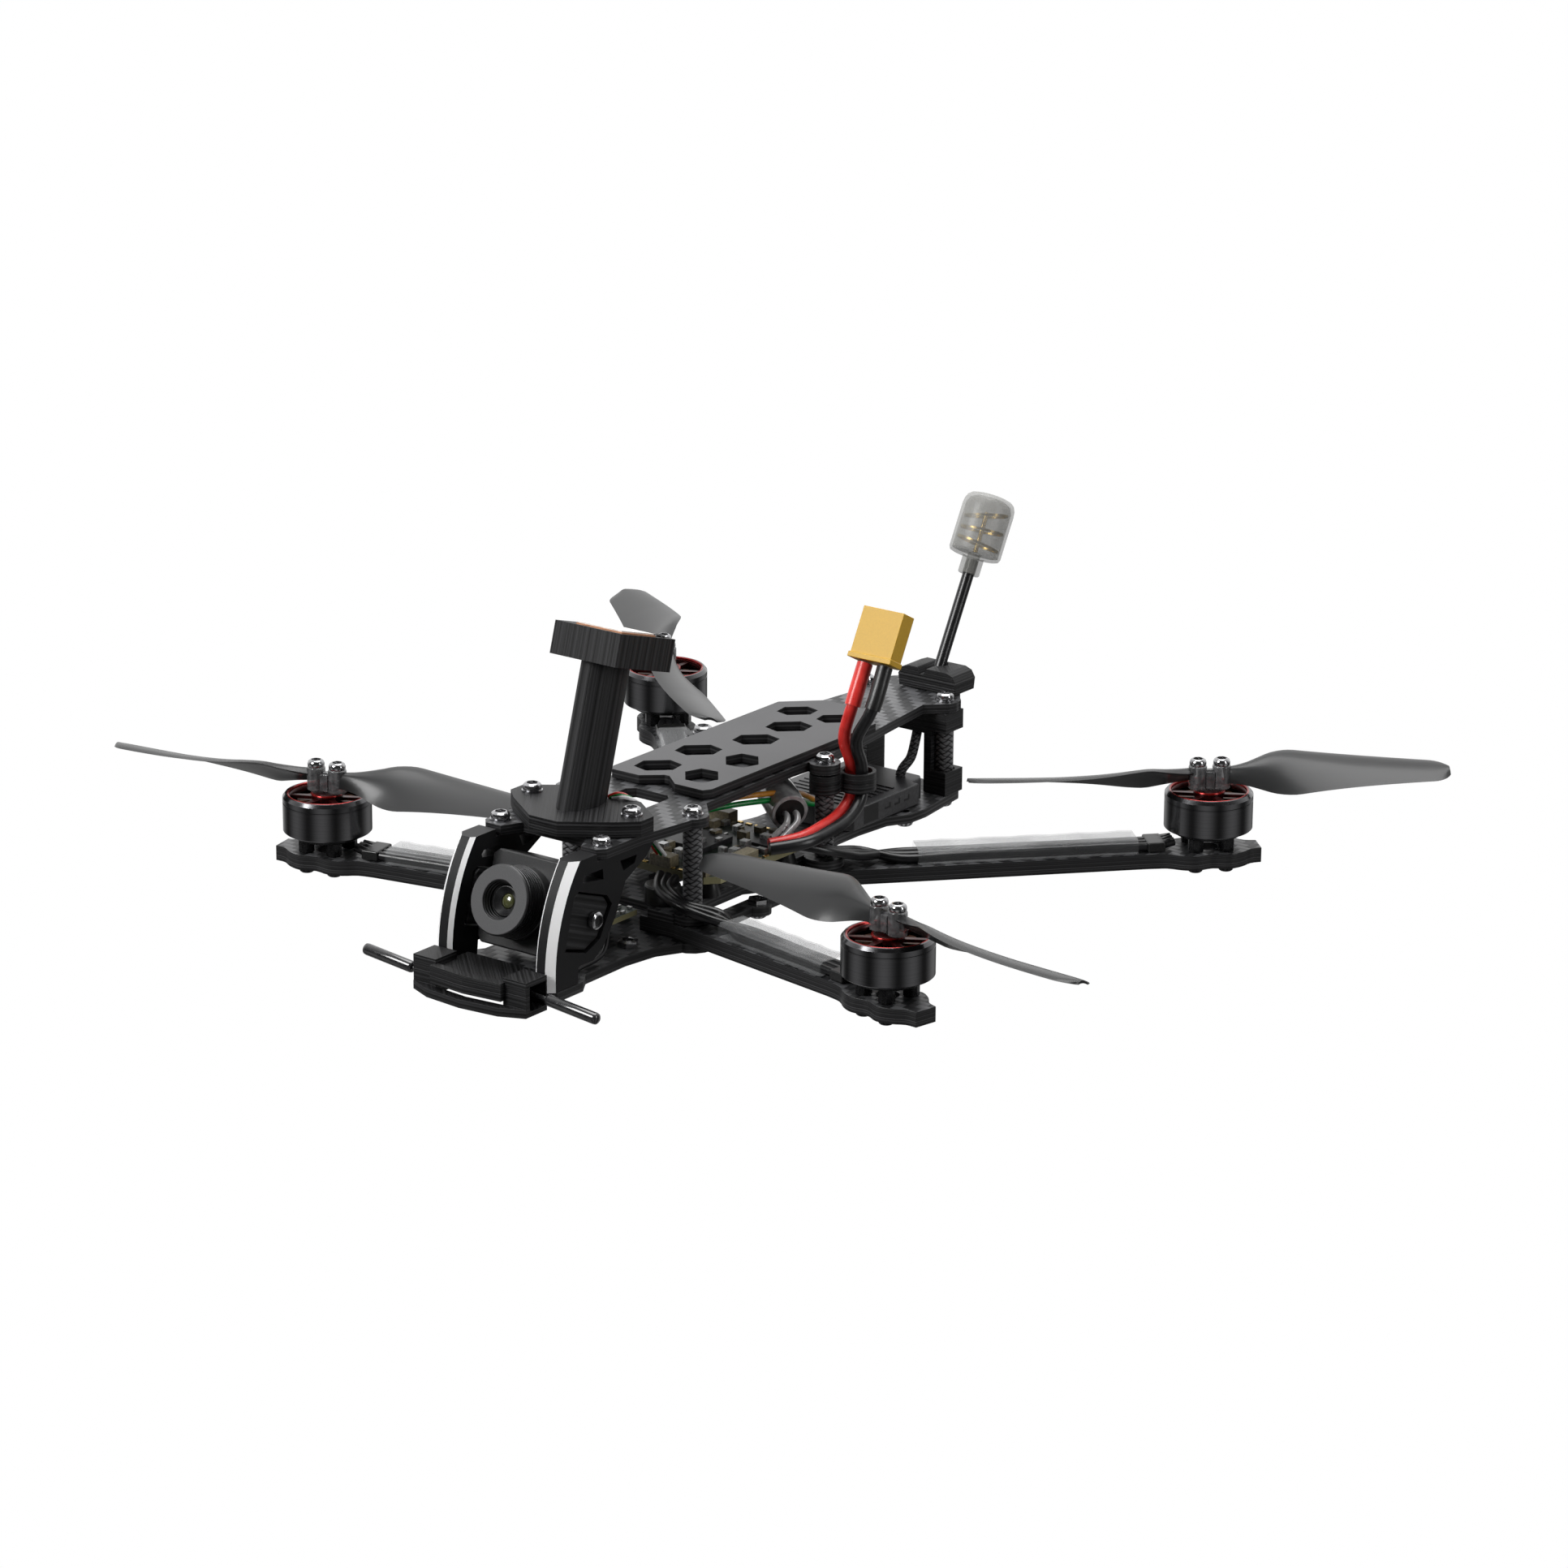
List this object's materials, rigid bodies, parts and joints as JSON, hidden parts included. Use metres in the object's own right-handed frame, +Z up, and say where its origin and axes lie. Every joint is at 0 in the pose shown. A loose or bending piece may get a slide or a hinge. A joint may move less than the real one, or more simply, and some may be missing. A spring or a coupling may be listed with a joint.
{
  "type": "quadcopter drone",
  "caption": "Quadcopter drone with carbon arms and plates, slim propellers on bell motors, a tilting camera in a metal cage, a raised positioning module and a rear antenna.",
  "frame": {"origin": "underside of the bottom plate, midway between the motors", "axes": "+Z up, nose and camera towards -Y, +X to the right of someone facing the nose, which is the side that node names call right"},
  "size_m": [0.2441, 0.1932, 0.0686],
  "materials": {
    "carbon": "satin woven carbon fibre",
    "pad_plate": "satin sheet",
    "printed_plastic": "fine printed layers",
    "anodised_black": "satin anodised with bare chamfers",
    "braided_metal": "knurled",
    "gunmetal": "polished anodised",
    "black_metal": "satin",
    "red_anodised": "satin anodised",
    "steel": "polished",
    "smoked_plastic": "smoky translucent gloss",
    "clear_plastic": "clear gloss",
    "black_plastic": "satin",
    "lens_glass": "coated gloss",
    "black_silicone": "satin",
    "red_silicone": "satin",
    "circuit_board": "solder mask",
    "ceramic": "matte ceramic",
    "copper": "bare",
    "brass_contact": "polished",
    "frosted_plastic": "frosted",
    "sleeve_grey": "glossy sleeve",
    "yellow_plastic": "moulded"
  },
  "bodies": {
    "frame": {"arm_front_left": "carbon", "motor_stator_front_left": "black_metal", "motor_leads_front_left": "black_silicone", "lead_sleeve_front_left": "clear_plastic", "arm_front_right": "carbon", "motor_stator_front_right": "black_metal", "motor_leads_front_right": "black_silicone", "lead_sleeve_front_right": "clear_plastic", "arm_rear_left": "carbon", "motor_stator_rear_left": "black_metal", "motor_leads_rear_left": "black_silicone", "lead_sleeve_rear_left": "clear_plastic", "arm_rear_right": "carbon", "motor_stator_rear_right": "black_metal", "motor_leads_rear_right": "black_silicone", "lead_sleeve_rear_right": "clear_plastic", "bottom_plate": "carbon", "mid_plate": "carbon", "top_plate": "carbon", "battery_pad": "pad_plate", "standoff_front_left": "braided_metal", "standoff_front_right": "braided_metal", "standoff_middle_left": "braided_metal", "standoff_middle_right": "braided_metal", "standoff_rear_left": "braided_metal", "standoff_rear_right": "braided_metal", "cage_plate_left": "anodised_black", "cage_plate_right": "anodised_black", "camera_pad_left": "printed_plastic", "camera_pad_right": "printed_plastic", "front_bumper": "printed_plastic", "dipole_arm_left": "black_silicone", "dipole_arm_right": "black_silicone", "gps_mount": "printed_plastic", "gps_module": "ceramic", "flight_controller": "circuit_board", "video_transmitter": "black_metal", "receiver_board": "circuit_board", "rear_bracket": "printed_plastic", "antenna_clamp": "printed_plastic", "antenna_stem": "black_silicone", "antenna_cap": "frosted_plastic", "capacitor": "sleeve_grey", "wire_clip": "printed_plastic", "battery_connector": "yellow_plastic", "battery_lead_red": "red_silicone", "battery_lead_black": "black_silicone"},
    "camera": {"camera_housing": "black_plastic", "lens_barrel": "black_plastic", "lens_glass": "lens_glass", "camera_screw_left": "steel", "camera_screw_right": "steel"},
    "rotor_front_left": {"motor_bell_front_left": "gunmetal", "propeller_front_left": "smoked_plastic"},
    "rotor_front_right": {"motor_bell_front_right": "gunmetal", "propeller_front_right": "smoked_plastic"},
    "rotor_rear_left": {"motor_bell_rear_left": "gunmetal", "propeller_rear_left": "smoked_plastic"},
    "rotor_rear_right": {"motor_bell_rear_right": "gunmetal", "propeller_rear_right": "smoked_plastic"}
  },
  "joints": [
    {"name": "spin_front_left", "type": "hinge", "parent": "frame", "child": "rotor_front_left", "pos_m": [-0.0717, -0.057, 0.0137], "axis": [0, 0, 1], "continuous": true},
    {"name": "spin_front_right", "type": "hinge", "parent": "frame", "child": "rotor_front_right", "pos_m": [0.0717, -0.057, 0.0137], "axis": [0, 0, 1], "continuous": true},
    {"name": "spin_rear_left", "type": "hinge", "parent": "frame", "child": "rotor_rear_left", "pos_m": [-0.0717, 0.057, 0.0137], "axis": [0, 0, 1], "continuous": true},
    {"name": "spin_rear_right", "type": "hinge", "parent": "frame", "child": "rotor_rear_right", "pos_m": [0.0717, 0.057, 0.0137], "axis": [0, 0, 1], "continuous": true},
    {"name": "camera_tilt", "type": "hinge", "parent": "frame", "child": "camera", "pos_m": [0, -0.0767, 0.0138], "axis": [-1, 0, 0], "range_deg": [-20, 20]}
  ]
}
